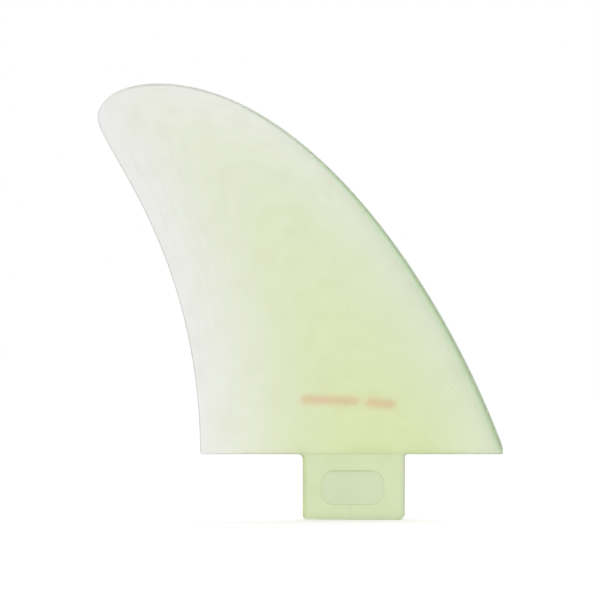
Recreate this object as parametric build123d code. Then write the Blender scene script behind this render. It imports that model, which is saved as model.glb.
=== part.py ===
"""A surfboard side fin: one solid glass-fibre laminate with a foiled blade and a single tab.

X runs forward to the leading edge, Z up to the tip, and Y out to the foiled side. The flat side faces -Y.
The origin is in the middle of the tab's top, on the plane where the blade sits on the board. Millimetres.
"""

from build123d import *
from math import radians, tan
import os

# Blade outline, seen square to the flat side
base_chord = 120.0
blade_depth = 147.0
rake = 40.6  # the rearmost point is this far behind the foot of the trailing edge
tip_drop = 13.3  # and this far below the highest point
tip_reach = 23.7  # and this far behind it
tab_lead = 0.9  # the tab's middle is this far ahead of the middle of the base

# How far each curve of the outline holds the direction that it starts in
leading_lean = 20.0  # degrees from upright, at the base
leading_foot_pull = 73.8
leading_top_pull = 57.9
tip_top_pull = 17.6
tip_rear_pull = 4.8
trailing_rear_pull = 12.3
trailing_foot_pull = 82.4

# Feet of the two edges
upright_trim = 1.1  # the leading edge's foot is sanded upright, this far inside its curve
upright_blend_radius = 10.0
leading_foot_radius = 0.7
trailing_foot_radius = 1.2

# Foil, as thickness over the flat side
root_thickness = 10.0
tip_thickness = 2.2
leading_root_thickness = 3.6
leading_tip_thickness = 1.6
trailing_thickness = 1.0
nose_share = 0.034  # the leading edge is rounded over this share of the chord
nose_fullness = 0.55  # how far the rounding holds its directions at both ends
nose_slope = 11.0  # degrees, where the rounding meets the foil
tail_slope = 7.0  # degrees, at the trailing edge
crest_place = 0.42  # the thickest line, as a share of the chord from the leading edge
front_fullness = 0.45  # how far the crest's direction is held each way, as a share of that side
rear_fullness = 0.38
foil_sections = 11
span_run_out = 0.07  # the foil surface is carried on past the base and the tip by this share of the span
nose_run_out = 0.3  # and this far ahead of the leading edge
tail_run_out = 4.0  # and this far behind the trailing edge

# Tab
tab_length = 40.6
tab_thickness = 6.0
tab_rear_depth = 25.6
tab_front_depth = 26.1
tab_inset = 0.45  # the tab's flat side lies this far inside the blade's
rear_root_radius = 2.0
front_root_radius = 1.2
rear_corner_radius = 1.4
front_corner_radius = 2.8
tab_edge_radius = 0.8

# Pocket in the tab's flat side
pocket_length = 25.0
pocket_height = 13.7
pocket_corner_radius = 5.3
pocket_depth = 1.4
pocket_floor_radius = 0.6
pocket_drop = 13.2  # its middle is this far below the base
pocket_aft = 0.5  # and this far behind the tab's middle

# Sanded rims of the blade
foil_rim_radius = 0.4
flat_rim_bevel = 0.3

leading_foot_x = base_chord / 2 - tab_lead
trailing_foot_x = -base_chord / 2 - tab_lead
blade_flat_y = -tab_thickness / 2 - tab_inset
rear_point = Vector(trailing_foot_x - rake, blade_depth - tip_drop)
top_point = Vector(rear_point.X + tip_reach, blade_depth)

leading_start = Vector(leading_foot_x + upright_trim, 0)
leading_curve = Bezier(
    leading_start,
    leading_start + Vector(0, leading_foot_pull).rotate(Axis.Z, leading_lean),
    top_point + Vector(leading_top_pull, 0),
    top_point,
)
tip_curve = Bezier(
    top_point,
    top_point - Vector(tip_top_pull, 0),
    rear_point + Vector(0, tip_rear_pull),
    rear_point,
)
trailing_curve = Bezier(
    (trailing_foot_x, 0),
    (trailing_foot_x, trailing_foot_pull),
    rear_point - Vector(0, trailing_rear_pull),
    rear_point,
)


def corner(shape, x, z):
    """The corner of a flat outline that is nearest to x, z."""
    return shape.vertices().sort_by_distance((x, z))[0]


def blade_outline():
    """The blade's outline, with the leading edge's foot trimmed upright and both feet rounded."""
    base = Line((trailing_foot_x, 0), leading_start)
    outline = make_face([base, leading_curve, tip_curve, trailing_curve])
    outline -= Pos(leading_foot_x, 0) * Rectangle(
        2 * upright_trim, blade_depth, align=(Align.MIN, Align.CENTER)
    )
    trim_top = outline.vertices().filter_by(lambda v: v.Y > 1e-3 and abs(v.X - leading_foot_x) < 1e-3)
    outline = fillet(trim_top, upright_blend_radius)
    outline = fillet(corner(outline, leading_foot_x, 0), leading_foot_radius)
    return fillet(corner(outline, trailing_foot_x, 0), trailing_foot_radius)


def edge_point(curve, span):
    """The point at a share of a curve's length, carried on straight past its ends."""
    inside = min(max(span, 0), 1)
    return curve @ inside + (curve % inside) * (span - inside) * curve.length


def foil_section(span):
    """The foil's section at a share of the span, from 0 at the base to 1 at the tip.

    It stands on the line between the two edges' points at that share. It starts a little ahead of the
    leading edge, ends behind the trailing edge and is deeper than the blade, so that the outline and the
    flat side trim it. Lengths at the nose are square to the leading edge, so they are longer along a
    section that crosses it aslant. The leading edge stays blunt for longer than the crest stays thick.
    """
    front = edge_point(leading_curve, span)
    back = edge_point(trailing_curve, span)
    chord = back - front
    aslant = chord.length / abs(chord.cross(leading_curve % min(max(span, 0), 1)).Z)
    crest_thickness = root_thickness + (tip_thickness - root_thickness) * span
    leading_thickness = leading_root_thickness + (leading_tip_thickness - leading_root_thickness) * span**2
    thinning = crest_thickness / root_thickness
    nose_tilt = Vector(aslant, tan(radians(nose_slope)) * thinning)
    tail_tilt = Vector(1, -tan(radians(tail_slope)) * thinning)
    nose_start = Vector(-nose_run_out * aslant, 0)
    nose_corner = nose_start + Vector(0, leading_thickness)
    nose_reach = nose_tilt * (nose_share * chord.length)
    nose_end = nose_corner + nose_reach
    crest = Vector(crest_place * chord.length, crest_thickness)
    tail = Vector(chord.length, trailing_thickness) + tail_tilt * tail_run_out
    front_length = crest.X - nose_end.X
    rear_length = tail.X - crest.X
    nose = Bezier(
        nose_start,
        nose_start + Vector(0, leading_thickness) * nose_fullness,
        nose_end - nose_reach * nose_fullness,
        nose_end,
    )
    front_curve = Bezier(
        nose_end,
        nose_end + nose_tilt * (front_length * (1 - front_fullness) / aslant),
        crest - Vector(front_length * front_fullness, 0),
        crest,
    )
    rear_curve = Bezier(
        crest,
        crest + Vector(rear_length * rear_fullness, 0),
        tail - tail_tilt * (rear_length * (1 - rear_fullness)),
        tail,
    )
    keel = Polyline(tail, (tail.X, -root_thickness), (nose_start.X, -root_thickness), nose_start)
    along = Vector(chord.X, 0, chord.Y)
    plane = Plane((front.X, blade_flat_y, front.Y), x_dir=along, z_dir=along.cross(Vector(0, 1, 0)))
    return plane * make_face([nose, front_curve, rear_curve, keel])


def foil_body():
    """The body under the foil surface, through sections that fan out from the base to the tip."""
    spans = [i / (foil_sections - 1) for i in range(foil_sections)]
    return loft([foil_section(span) for span in [-span_run_out, *spans, 1 + span_run_out]])


def blade():
    """The outline cut from a flat panel and foiled on one side.

    The foiled side's rim is sanded round, and the flat side's sharp edge is broken by a narrow bevel.
    """
    panel = extrude(Plane.XZ.offset(-blade_flat_y) * blade_outline(), -2 * root_thickness)
    foiled = panel & foil_body()
    walls = foiled.faces().filter_by(lambda face: abs(face.normal_at().Y) < 1e-3)
    foil_rim = walls.edges().filter_by(
        lambda edge: abs((edge % 0.5).Y) < 0.9 and edge.center().Y > blade_flat_y + 1e-3
    )
    sanded = fillet(foil_rim, min(foil_rim_radius, trailing_thickness / 2))
    flat = sanded.faces().sort_by(Axis.Y)[0]
    return chamfer(flat.edges(), min(flat_rim_bevel, trailing_thickness / 3))


def tab():
    """The tab with its rounded roots and rims, carried on up inside the blade."""
    rear, front = -tab_length / 2, tab_length / 2
    buried = 2 * max(rear_root_radius, front_root_radius)
    outline = make_face(
        Polyline(
            (rear, buried), (rear, -tab_rear_depth), (front, -tab_front_depth), (front, buried), close=True
        )
    )
    outline += Rectangle(tab_length + 2 * buried, buried, align=(Align.CENTER, Align.MIN))
    for x, z, radius in (
        (rear, 0, rear_root_radius),
        (front, 0, front_root_radius),
        (rear, -tab_rear_depth, rear_corner_radius),
        (front, -tab_front_depth, front_corner_radius),
    ):
        outline = fillet(corner(outline, x, z), radius)
    slab = extrude(Plane.XZ * outline, tab_thickness / 2, both=True)
    lower = slab.edges().filter_by(lambda edge: edge.center().Z < 1e-3 and abs((edge % 0.5).Y) < 0.9)
    return fillet(lower, tab_edge_radius)


def pocket():
    """The round-cornered pocket in the tab's flat side, with a rounded floor."""
    opening = Pos(-pocket_aft, -pocket_drop) * RectangleRounded(
        pocket_length, pocket_height, pocket_corner_radius
    )
    cut = extrude(Plane.XZ.offset(tab_thickness / 2 - pocket_depth) * opening, 2 * pocket_depth)
    floor = cut.faces().sort_by(Axis.Y)[-1]
    return fillet(floor.edges(), pocket_floor_radius)


fin = blade() + tab() - pocket()

os.makedirs("parts", exist_ok=True)
export_step(fin, "parts/fin.step")
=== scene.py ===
"""A translucent glass-fibre surfboard fin, upright on a white floor and seen square to its flat side.

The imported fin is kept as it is. Metres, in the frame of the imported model: +X forward to the leading edge,
+Y out to the foiled side and +Z up to the tip. Patterns on the fin are laid out in millimetres in that frame.
"""

import math

import bmesh
import bpy
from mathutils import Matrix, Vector


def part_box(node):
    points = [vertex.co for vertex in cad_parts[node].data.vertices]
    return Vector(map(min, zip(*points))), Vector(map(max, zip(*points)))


MM = 0.001

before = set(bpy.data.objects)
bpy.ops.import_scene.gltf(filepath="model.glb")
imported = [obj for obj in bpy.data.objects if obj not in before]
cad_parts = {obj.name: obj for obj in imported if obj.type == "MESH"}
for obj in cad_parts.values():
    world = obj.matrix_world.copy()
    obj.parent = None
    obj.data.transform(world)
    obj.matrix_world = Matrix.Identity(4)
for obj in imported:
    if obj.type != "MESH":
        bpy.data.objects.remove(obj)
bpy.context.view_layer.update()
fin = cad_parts["fin"]
tab_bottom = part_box("fin")[0].z

# Framing of the photograph
PICTURE_PIXELS = 600
PIXEL = 0.3961 * MM  # a pixel's size on the fin's flat side
PICTURE_CENTRE = Vector((-21.33 * MM, -3.45 * MM, 61.15 * MM))
CAMERA_DISTANCE = 1.5
SENSOR_WIDTH = 36.0  # in millimetres, as the lens is

# Laminate
RESIN_IOR = 1.52
RESIN_TINT = "#DFF05B"  # light loses most of its blue on the way through, then red
RESIN_DENSITY = 80.0  # per metre
SURFACE_COLOUR = "#F0F0F4"
TIP_COLOUR = "#F2F1F8"
TIP_NOSE_COLOUR = "#F4F4F2"
ROUGHNESS = (0.46, 0.54)  # at the low and the high end of the mottle
ROUGHNESS_NOISE = (0.3, 0.7)  # the ends of the mottle's noise
CLEAR_SHARE = 1.0  # of the light, what the surface lets through
NOSE_CLEAR_SHARE = 0.3  # the rest comes back from fibres that are cut open at the nose
SHEEN_SHARE = 0.5
SHEEN_ROUGHNESS = 0.12

# Painted shade and light along the leading edge: the dark green band that the rounded nose gives as it bends
# the light, with a lighter line painted just behind it. As millimetres behind the edge and the surface's
# colour there
LEADING_EDGE_SHADE_COLOURS = (
    (0.35, "#E2ECDD"),
    (0.75, "#C5DBB3"),
    (1.4, "#F2FFE9"),
    (2.1, "#DDECE2"),
    (3.2, "#E1E6E4"),
    (5.0, "#EAEBED"),
    (10.0, SURFACE_COLOUR),
)

# Stains, painted shade and other darkenings, each as what it leaves of the colour under it
# Darker towards the bottom
LOWER_DARKENING = "#FEFEFD"
# Painted shade: the leading side, between the crest and the edge, a little darker and greener, as its slope
# bends the view through it
LEADING_SIDE_SHADE = "#FAFCFA"
TAB_STAIN = "#F1F7EA"
# Painted shade: a grey darkening on the walls and the flat side's broken edge, where the surface turns away
RIM_SHADE = "#D0D0D0"
MOTTLE_STAIN = "#FCFCF9"
PLY_STAIN = "#F9FAF6"
SPECK_STAIN = "#D0D0C6"
# A yellow-green band along the tab's rear end, and a lavender one along its front end
TAB_REAR_BAND = "#F3F4E4"
TAB_FRONT_BAND = "#F6ECFF"
# The pocket's floor a little darker and greener
POCKET_DARKENING = "#EFF5EF"
# Painted shadow: a darker, yellower strip on the pocket's floor under its top wall
POCKET_TOP_SHADOW = "#E3E9D1"
STREAK_STAIN = "#F3F8FF"
NICK_STAIN = "#9A9A88"
MARK_STAIN = "#FFB9B8"

# Where they lie, in millimetres: each pair is where one starts and where it is full
LEADING_SIDE_REACH = (45.0, 8.0)  # behind the leading edge
LEADING_SIDE_TOP = (150.0, 60.0)
TIP_NOSE_REACH = (1.5, 1.0)  # behind the leading edge
HAZE_REACH = (2.2, 0.7)  # behind the leading edge
TIP_BLEND = (102.0, 148.0)  # from the leading edge's colours to the tip's
LOWER_TOP = (80.0, 20.0)
TAB_TOP = (0.1, -0.3)
TAB_REAR = (-18.2, -19.8)
TAB_FRONT = (19.0, 19.9)
POCKET_TOP = (-7.5, -6.7)

# The edge's bands narrow upwards: the heights between which they do, and how many times narrower they get
NARROWING_HEIGHTS = (80.0, 140.0)
NARROWING = 2.2

# Parts of the fin, told by height or by how far out they lie to the foiled side
POCKET_FLOOR = (-1.6, 0.6)  # the middle of its range, and how far that goes each way
FLAT_SIDE_END = -3.3
RIM_END = -1.5
RIM_TURN = (0.95, 0.72)  # how squarely the surface faces a broad side where the rim starts and is full
RIM_LOW_HEIGHTS = (-20.0, -8.0)
RIM_LOW_SHARE = 0.2  # what is left of the rim's painted shade at the lower height
STEP_HALF_LENGTH = 20.0  # the step between blade and tab has no painted shade at its rim
STEP_HALF_HEIGHT = 1.0

# The ellipse that the leading edge follows: its centre, its half axes and its lean. One half axis is so long
# that a place's depth doesn't count
LEADING_ELLIPSE_CENTRE = (-30.563, 0.0, -53.179)
LEADING_ELLIPSE_HALF = (103.286, 1e6, 207.166)
LEADING_ELLIPSE_LEAN = 0.304

# Round-ended bars: centre, slope down to the front, half length, half height and blur of the edge
MARK_BARS = (
    ((-9.25, 0.0, 21.3), math.radians(2), 9.8, 1.7, 1.4),
    ((10.6, 0.0, 20.0), math.radians(6), 4.0, 1.9, 1.4),
)
POCKET_BAR = ((-0.5, 0.0, -13.2), 0.0, 5.65, 7.3, 0.2)
STREAK_BAR = ((-1.4, 0.0, -22.6), math.radians(90), 1.8, 0.4, 0.5)
NICK_BAR = ((18.6, 0.0, -26.0), math.radians(-8), 0.5, 0.2, 0.2)

# Mottle: faint clouds where the cloth and the resin lie unevenly
MOTTLE_SIZE = 9.0
MOTTLE_DETAIL = 3.0
MOTTLE_NOISE = (0.45, 0.7)  # where in the noise it starts and is full

# Contour lines. A ply of this cloth is about 0.25 mm thick, too fine to show here, so they are drawn coarser
PLY_STEP = 0.5
PLY_WAVER = 0.35
PLY_WAVE = (0.2, 1.0)  # where in the wave a line starts and is full

# Specks of dust. The real ones are mostly under 0.1 mm across, so they are drawn larger to show
SPECK_STEP = 24.0
SPECK_RADIUS = 0.24
SPECK_EDGE = (1.5, 0.5)  # of the radius, where the blurred edge starts and is full
BARE_CELLS = 0.62  # the share of the grid's cells that have none

# Light: what falls on things from all round, the floor's own share of white, and the lamps
ROOM_LIGHT = 0.8
FLOOR_GLOW = 0.37
SOFTBOXES = (
    # name, place, width, length, watts
    ("left_strip", (-1.1, -0.5, 0.6), 0.06, 0.5, 1.1),
    ("right_strip", (1.1, 0.3, 0.5), 0.06, 0.5, 1.1),
    ("overhead", (0.0, 0.3, 1.2), 0.3, 0.3, 1.4),
)
WHITE = "#FFFFFF"
PAPER_COLOUR = "#E7E7E7"
FLOOR_HALF_WIDTH = 4.0


def linear(code):
    """An sRGB hex colour as linear numbers, with an alpha of one."""
    parts = [int(code[i : i + 2], 16) / 255 for i in (1, 3, 5)]
    return (*(c / 12.92 if c <= 0.04045 else ((c + 0.055) / 1.055) ** 2.4 for c in parts), 1.0)


def add(tree, kind, inputs=(), **settings):
    """A new node with its settings. Each input is a plain value, or the socket that feeds it."""
    node = tree.nodes.new(kind)
    for name, value in settings.items():
        setattr(node, name, value)
    for key, value in dict(inputs).items():
        if isinstance(value, bpy.types.NodeSocket):
            tree.links.new(value, node.inputs[key])
        else:
            node.inputs[key].default_value = value
    return node


def new_material(name):
    """A material with an empty node tree and its output node."""
    material = bpy.data.materials.new(name)
    material.use_nodes = True
    material.node_tree.nodes.clear()
    return material, material.node_tree, add(material.node_tree, "ShaderNodeOutputMaterial")


def leading_distance(tree, place):
    """How far a place lies behind the leading edge, in millimetres, square to the edge.

    The level is one on the ellipse and falls to nought at its centre. What it lacks of one, over how
    steeply it rises there, is the distance.
    """
    turned = add(
        tree,
        "ShaderNodeMapping",
        {
            "Vector": place,
            "Location": LEADING_ELLIPSE_CENTRE,
            "Rotation": (0, -LEADING_ELLIPSE_LEAN, 0),
            "Scale": LEADING_ELLIPSE_HALF,
        },
        vector_type="TEXTURE",
    ).outputs[0]
    slope = add(
        tree, "ShaderNodeVectorMath", {0: turned, 1: LEADING_ELLIPSE_HALF}, operation="DIVIDE"
    ).outputs[0]
    steepness = add(tree, "ShaderNodeVectorMath", {0: slope}, operation="LENGTH").outputs["Value"]
    level = add(tree, "ShaderNodeVectorMath", {0: turned}, operation="LENGTH").outputs["Value"]
    short = add(tree, "ShaderNodeMath", {0: 1.0, 1: level}, operation="SUBTRACT").outputs[0]
    short = add(tree, "ShaderNodeMath", {0: short, 1: level}, operation="MULTIPLY").outputs[0]
    return add(tree, "ShaderNodeMath", {0: short, 1: steepness}, operation="DIVIDE").outputs[0]


def bar(tree, place, centre, slope, half_length, half_height, blur):
    """One where a place is on a round-ended bar, and nought off it."""
    turned = add(
        tree,
        "ShaderNodeMapping",
        {"Vector": place, "Location": centre, "Rotation": (0, slope, 0)},
        vector_type="TEXTURE",
    ).outputs[0]
    folded = add(tree, "ShaderNodeVectorMath", {0: turned}, operation="ABSOLUTE").outputs[0]
    past = add(
        tree, "ShaderNodeVectorMath", {0: folded, 1: (half_length, 0, 0)}, operation="SUBTRACT"
    ).outputs[0]
    past = add(tree, "ShaderNodeVectorMath", {0: past, 1: (0, 0, 0)}, operation="MAXIMUM").outputs[0]
    flat = add(tree, "ShaderNodeVectorMath", {0: past, 1: (1, 0, 1)}, operation="MULTIPLY").outputs[0]
    away = add(tree, "ShaderNodeVectorMath", {0: flat}, operation="LENGTH").outputs["Value"]
    return add(
        tree,
        "ShaderNodeMapRange",
        {"Value": away, "From Min": half_height + blur, "From Max": half_height - blur},
        interpolation_type="SMOOTHSTEP",
    ).outputs[0]


def specks(tree, place):
    """Sparse specks of dust in the laminate, one at most to each cell of a loose grid."""
    across = add(
        tree, "ShaderNodeMapping", {"Vector": place, "Rotation": (math.radians(-90), 0, 0)}
    ).outputs[0]
    cells = add(
        tree,
        "ShaderNodeTexVoronoi",
        {"Vector": across, "Scale": 1 / SPECK_STEP},
        voronoi_dimensions="2D",
    )
    near = add(
        tree,
        "ShaderNodeMapRange",
        {
            "Value": cells.outputs["Distance"],
            "From Min": SPECK_EDGE[0] * SPECK_RADIUS / SPECK_STEP,
            "From Max": SPECK_EDGE[1] * SPECK_RADIUS / SPECK_STEP,
        },
    ).outputs[0]
    chance = add(tree, "ShaderNodeSeparateColor", {"Color": cells.outputs["Color"]}).outputs["Red"]
    chosen = add(tree, "ShaderNodeMath", {0: chance, 1: BARE_CELLS}, operation="GREATER_THAN").outputs[0]
    return add(tree, "ShaderNodeMath", {0: near, 1: chosen}, operation="MULTIPLY").outputs[0]


def tab_shares(tree, axes):
    """One on the tab and nought on the blade, and the same for the tab's rear and front ends alone."""
    tab = add(
        tree,
        "ShaderNodeMapRange",
        {"Value": axes.outputs["Z"], "From Min": TAB_TOP[0], "From Max": TAB_TOP[1]},
    ).outputs[0]
    ends = []
    for start, full in (TAB_REAR, TAB_FRONT):
        end = add(
            tree, "ShaderNodeMapRange", {"Value": axes.outputs["X"], "From Min": start, "From Max": full}
        ).outputs[0]
        ends.append(add(tree, "ShaderNodeMath", {0: end, 1: tab}, operation="MULTIPLY").outputs[0])
    return tab, *ends


def pocket_shares(tree, axes, over_pocket):
    """One on the pocket's floor, and the same for the strip along its top alone, where the painted shadow of
    the top wall goes.
    """
    middle, each_way = POCKET_FLOOR
    floor = add(
        tree, "ShaderNodeMath", {0: axes.outputs["Y"], 1: middle, 2: each_way}, operation="COMPARE"
    ).outputs[0]
    floor = add(tree, "ShaderNodeMath", {0: over_pocket, 1: floor}, operation="MULTIPLY").outputs[0]
    top = add(
        tree,
        "ShaderNodeMapRange",
        {"Value": axes.outputs["Z"], "From Min": POCKET_TOP[0], "From Max": POCKET_TOP[1]},
        interpolation_type="SMOOTHSTEP",
    ).outputs[0]
    return floor, add(tree, "ShaderNodeMath", {0: top, 1: floor}, operation="MULTIPLY").outputs[0]


def rim_shade_share(tree, axes, normal, nose, over_pocket):
    """One where the rims' painted shade goes: on the walls and the flat side's broken edge, where the surface
    turns from both broad sides.

    The nose and the pocket are left out, and so is the step between blade and tab.
    """
    lean = add(tree, "ShaderNodeSeparateXYZ", {0: normal}).outputs["Y"]
    facing = add(tree, "ShaderNodeMath", {0: lean}, operation="ABSOLUTE").outputs[0]
    rim = add(
        tree,
        "ShaderNodeMapRange",
        {"Value": facing, "From Min": RIM_TURN[0], "From Max": RIM_TURN[1]},
        interpolation_type="SMOOTHSTEP",
    ).outputs[0]
    near_flat = add(
        tree, "ShaderNodeMath", {0: axes.outputs["Y"], 1: RIM_END}, operation="LESS_THAN"
    ).outputs[0]
    off_nose = add(tree, "ShaderNodeMath", {0: 1.0, 1: nose}, operation="SUBTRACT").outputs[0]
    low = add(
        tree,
        "ShaderNodeMapRange",
        {
            "Value": axes.outputs["Z"],
            "From Min": RIM_LOW_HEIGHTS[0],
            "From Max": RIM_LOW_HEIGHTS[1],
            "To Min": RIM_LOW_SHARE,
        },
    ).outputs[0]
    for share in (near_flat, off_nose, low):
        rim = add(tree, "ShaderNodeMath", {0: rim, 1: share}, operation="MULTIPLY").outputs[0]

    along = add(tree, "ShaderNodeMath", {0: axes.outputs["X"]}, operation="ABSOLUTE").outputs[0]
    over_tab = add(tree, "ShaderNodeMath", {0: along, 1: STEP_HALF_LENGTH}, operation="LESS_THAN").outputs[0]
    step = add(
        tree, "ShaderNodeMath", {0: axes.outputs["Z"], 1: 0.0, 2: STEP_HALF_HEIGHT}, operation="COMPARE"
    ).outputs[0]
    step = add(tree, "ShaderNodeMath", {0: step, 1: over_tab}, operation="MULTIPLY").outputs[0]
    for share in (step, over_pocket):
        rim = add(
            tree, "ShaderNodeMath", {0: rim, 1: share}, operation="SUBTRACT", use_clamp=True
        ).outputs[0]
    return rim


def ply_share(tree, axes, noise, foiled):
    """One on the faint contour lines of the foiled side, where grinding cut through ply after ply."""
    waver = add(tree, "ShaderNodeMath", {0: noise, 1: PLY_WAVER}, operation="MULTIPLY").outputs[0]
    depth = add(tree, "ShaderNodeMath", {0: axes.outputs["Y"], 1: waver}, operation="ADD").outputs[0]
    turn = add(tree, "ShaderNodeMath", {0: depth, 1: 2 * math.pi / PLY_STEP}, operation="MULTIPLY").outputs[0]
    wave = add(tree, "ShaderNodeMath", {0: turn}, operation="SINE").outputs[0]
    line = add(
        tree, "ShaderNodeMapRange", {"Value": wave, "From Min": PLY_WAVE[0], "From Max": PLY_WAVE[1]}
    ).outputs[0]
    return add(tree, "ShaderNodeMath", {0: line, 1: foiled}, operation="MULTIPLY").outputs[0]


def unstained_colour(tree, height, nose_distance, nose):
    """The surface's colour with the painted shade of the green band behind the leading edge and the lighter
    line painted behind that band, both fading out towards the tip.
    """
    widest = LEADING_EDGE_SHADE_COLOURS[-1][0]
    across = add(tree, "ShaderNodeMath", {0: nose_distance, 1: widest}, operation="DIVIDE").outputs[0]
    band = add(tree, "ShaderNodeValToRGB", {"Fac": across})
    stops = band.color_ramp.elements
    while len(stops) < len(LEADING_EDGE_SHADE_COLOURS):
        stops.new(0.5)
    for stop, (behind, code) in zip(stops, LEADING_EDGE_SHADE_COLOURS):
        stop.position = behind / widest
        stop.color = linear(code)
    to_tip = add(
        tree,
        "ShaderNodeMapRange",
        {"Value": height, "From Min": TIP_BLEND[0], "From Max": TIP_BLEND[1]},
        interpolation_type="SMOOTHSTEP",
    ).outputs[0]
    tip = add(
        tree,
        "ShaderNodeMix",
        {0: nose, 6: linear(TIP_COLOUR), 7: linear(TIP_NOSE_COLOUR)},
        data_type="RGBA",
    ).outputs[2]
    return add(
        tree, "ShaderNodeMix", {0: to_tip, 6: band.outputs["Color"], 7: tip}, data_type="RGBA"
    ).outputs[2]


def laminate_material():
    """Glass-fibre laminate: cloth in clear resin, ground to the foil and wet-sanded.

    The sanding leaves it hazy with a low, soft sheen. Light that goes through it takes a green tint, deeper
    where the blade is thicker, so the thin edges and the tip look almost white. Its colour also carries
    painted shade along the leading edge, on the leading side and on the rims, and painted shadow under the
    pocket's top wall.
    """
    material, tree, out = new_material("glass_fibre_laminate_wet_sanded")
    coordinates = add(tree, "ShaderNodeTexCoord")
    place = add(
        tree, "ShaderNodeVectorMath", {0: coordinates.outputs["Object"], "Scale": 1 / MM}, operation="SCALE"
    ).outputs[0]
    axes = add(tree, "ShaderNodeSeparateXYZ", {0: place})
    height = axes.outputs["Z"]

    distance = leading_distance(tree, place)
    narrowing = add(
        tree,
        "ShaderNodeMapRange",
        {
            "Value": height,
            "From Min": NARROWING_HEIGHTS[0],
            "From Max": NARROWING_HEIGHTS[1],
            "To Min": 1.0,
            "To Max": NARROWING,
        },
    ).outputs[0]
    nose_distance = add(tree, "ShaderNodeMath", {0: distance, 1: narrowing}, operation="MULTIPLY").outputs[0]
    noise = add(
        tree, "ShaderNodeTexNoise", {"Vector": place, "Scale": 1 / MOTTLE_SIZE, "Detail": MOTTLE_DETAIL}
    ).outputs[0]
    nose, haze, side, side_foot, lower, mottle = [
        add(
            tree,
            "ShaderNodeMapRange",
            {"Value": value, "From Min": start, "From Max": full},
            interpolation_type="SMOOTHSTEP",
        ).outputs[0]
        for value, (start, full) in (
            (nose_distance, TIP_NOSE_REACH),
            (nose_distance, HAZE_REACH),
            (distance, LEADING_SIDE_REACH),
            (height, LEADING_SIDE_TOP),
            (height, LOWER_TOP),
            (noise, MOTTLE_NOISE),
        )
    ]
    side = add(tree, "ShaderNodeMath", {0: side, 1: side_foot}, operation="MULTIPLY").outputs[0]

    tab, tab_rear, tab_front = tab_shares(tree, axes)
    over_pocket = bar(tree, place, *POCKET_BAR)
    pocket, pocket_top = pocket_shares(tree, axes, over_pocket)
    rim = rim_shade_share(tree, axes, coordinates.outputs["Normal"], nose, over_pocket)
    foiled = add(
        tree, "ShaderNodeMath", {0: axes.outputs["Y"], 1: FLAT_SIDE_END}, operation="GREATER_THAN"
    ).outputs[0]
    foiled = add(tree, "ShaderNodeMath", {0: foiled, 1: tab}, operation="SUBTRACT", use_clamp=True).outputs[0]
    marks = [bar(tree, place, *shape) for shape in MARK_BARS]
    mark = add(tree, "ShaderNodeMath", {0: marks[0], 1: marks[1]}, operation="MAXIMUM").outputs[0]
    mark = add(tree, "ShaderNodeMath", {0: mark, 1: foiled}, operation="MULTIPLY").outputs[0]

    colour = unstained_colour(tree, height, nose_distance, nose)
    # Stains, painted shade and darkenings laid over the colour, each by its share; the leading side and the
    # rims carry painted shade and the pocket's top a painted shadow
    for stain, share in (
        (LOWER_DARKENING, lower),
        (LEADING_SIDE_SHADE, side),
        (TAB_STAIN, tab),
        (RIM_SHADE, rim),
        (MOTTLE_STAIN, mottle),
        (PLY_STAIN, ply_share(tree, axes, noise, foiled)),
        (SPECK_STAIN, specks(tree, place)),
        (TAB_REAR_BAND, tab_rear),
        (TAB_FRONT_BAND, tab_front),
        (POCKET_DARKENING, pocket),
        (POCKET_TOP_SHADOW, pocket_top),
        (STREAK_STAIN, bar(tree, place, *STREAK_BAR)),
        (NICK_STAIN, bar(tree, place, *NICK_BAR)),
        (MARK_STAIN, mark),
    ):
        colour = add(
            tree,
            "ShaderNodeMix",
            {0: share, 6: colour, 7: linear(stain)},
            data_type="RGBA",
            blend_type="MULTIPLY",
        ).outputs[2]

    roughness = add(
        tree,
        "ShaderNodeMapRange",
        {
            "Value": noise,
            "From Min": ROUGHNESS_NOISE[0],
            "From Max": ROUGHNESS_NOISE[1],
            "To Min": ROUGHNESS[0],
            "To Max": ROUGHNESS[1],
        },
    ).outputs[0]
    clear = add(
        tree, "ShaderNodeMapRange", {"Value": haze, "To Min": CLEAR_SHARE, "To Max": NOSE_CLEAR_SHARE}
    ).outputs[0]
    shader = add(
        tree,
        "ShaderNodeBsdfPrincipled",
        {
            "Base Color": colour,
            "Roughness": roughness,
            "IOR": RESIN_IOR,
            "Transmission Weight": clear,
            "Coat Weight": SHEEN_SHARE,
            "Coat Roughness": SHEEN_ROUGHNESS,
        },
    )
    absorption = add(
        tree, "ShaderNodeVolumeAbsorption", {"Color": linear(RESIN_TINT), "Density": RESIN_DENSITY}
    )
    tree.links.new(shader.outputs["BSDF"], out.inputs["Surface"])
    tree.links.new(absorption.outputs["Volume"], out.inputs["Volume"])
    return material


fin.data.materials.clear()
fin.data.materials.append(laminate_material())


def seen_directly(tree):
    """One for rays from the camera and from gloss and glass, nought for light that falls on things."""
    path = add(tree, "ShaderNodeLightPath")
    seen = add(
        tree,
        "ShaderNodeMath",
        {0: path.outputs["Is Camera Ray"], 1: path.outputs["Is Glossy Ray"]},
        operation="MAXIMUM",
    ).outputs[0]
    return add(
        tree, "ShaderNodeMath", {0: seen, 1: path.outputs["Is Transmission Ray"]}, operation="MAXIMUM"
    ).outputs[0]


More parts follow.
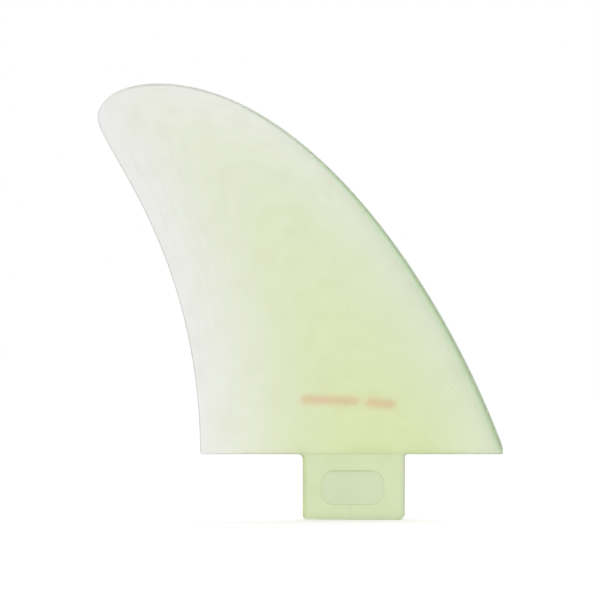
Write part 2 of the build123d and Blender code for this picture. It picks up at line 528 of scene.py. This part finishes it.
def build_floor():
    """A wide floor of matt white paper. It has no highlights, and keeps the fin's faint, soft shadow."""
    shape = bmesh.new()
    bmesh.ops.create_grid(shape, x_segments=1, y_segments=1, size=FLOOR_HALF_WIDTH)
    bmesh.ops.translate(shape, verts=shape.verts, vec=(0, 0, tab_bottom))
    mesh = bpy.data.meshes.new("floor")
    shape.to_mesh(mesh)
    shape.free()
    floor = bpy.data.objects.new("floor", mesh)
    bpy.context.scene.collection.objects.link(floor)
    material, tree, out = new_material("white_paper_floor")
    paper = add(tree, "ShaderNodeBsdfDiffuse", {"Color": linear(PAPER_COLOUR)})
    level = add(
        tree, "ShaderNodeMath", {0: seen_directly(tree), 1: FLOOR_GLOW}, operation="MULTIPLY"
    ).outputs[0]
    glow = add(tree, "ShaderNodeEmission", {"Color": linear(WHITE), "Strength": level})
    both = add(tree, "ShaderNodeAddShader", {0: paper.outputs[0], 1: glow.outputs[0]})
    tree.links.new(both.outputs[0], out.inputs["Surface"])
    mesh.materials.append(material)


build_floor()


def light_world():
    """A soft white room. It looks white, and lights things from all round at a lower level."""
    world = bpy.data.worlds.new("soft_white_room")
    bpy.context.scene.world = world
    world.use_nodes = True
    tree = world.node_tree
    tree.nodes.clear()
    level = add(
        tree, "ShaderNodeMapRange", {"Value": seen_directly(tree), "To Min": ROOM_LIGHT, "To Max": 1.0}
    )
    glow = add(tree, "ShaderNodeBackground", {"Color": linear(WHITE), "Strength": level.outputs[0]})
    add(tree, "ShaderNodeOutputWorld", {"Surface": glow.outputs[0]})


light_world()


def hang_softboxes():
    """Lamps that leave a highlight along the rounded edges, turned to the middle of the picture."""
    for name, place, width, length, watts in SOFTBOXES:
        data = bpy.data.lights.new(name, "AREA")
        data.shape = "RECTANGLE"
        data.size, data.size_y = width, length
        data.energy = watts
        lamp = bpy.data.objects.new(name, data)
        lamp.location = place
        aim = PICTURE_CENTRE - Vector(place)
        lamp.rotation_euler = aim.to_track_quat("-Z", "Y").to_euler()
        bpy.context.scene.collection.objects.link(lamp)


hang_softboxes()


def build_camera():
    """A camera square to the flat side, with the photograph's frame."""
    data = bpy.data.cameras.new("camera")
    data.sensor_width = SENSOR_WIDTH
    data.lens = SENSOR_WIDTH * CAMERA_DISTANCE / (PICTURE_PIXELS * PIXEL)
    camera = bpy.data.objects.new("camera", data)
    camera.location = PICTURE_CENTRE + Vector((0, -CAMERA_DISTANCE, 0))
    camera.rotation_euler = (math.radians(90), 0, 0)
    bpy.context.scene.collection.objects.link(camera)
    bpy.context.scene.camera = camera


build_camera()

bpy.context.scene.view_settings.view_transform = "Standard"
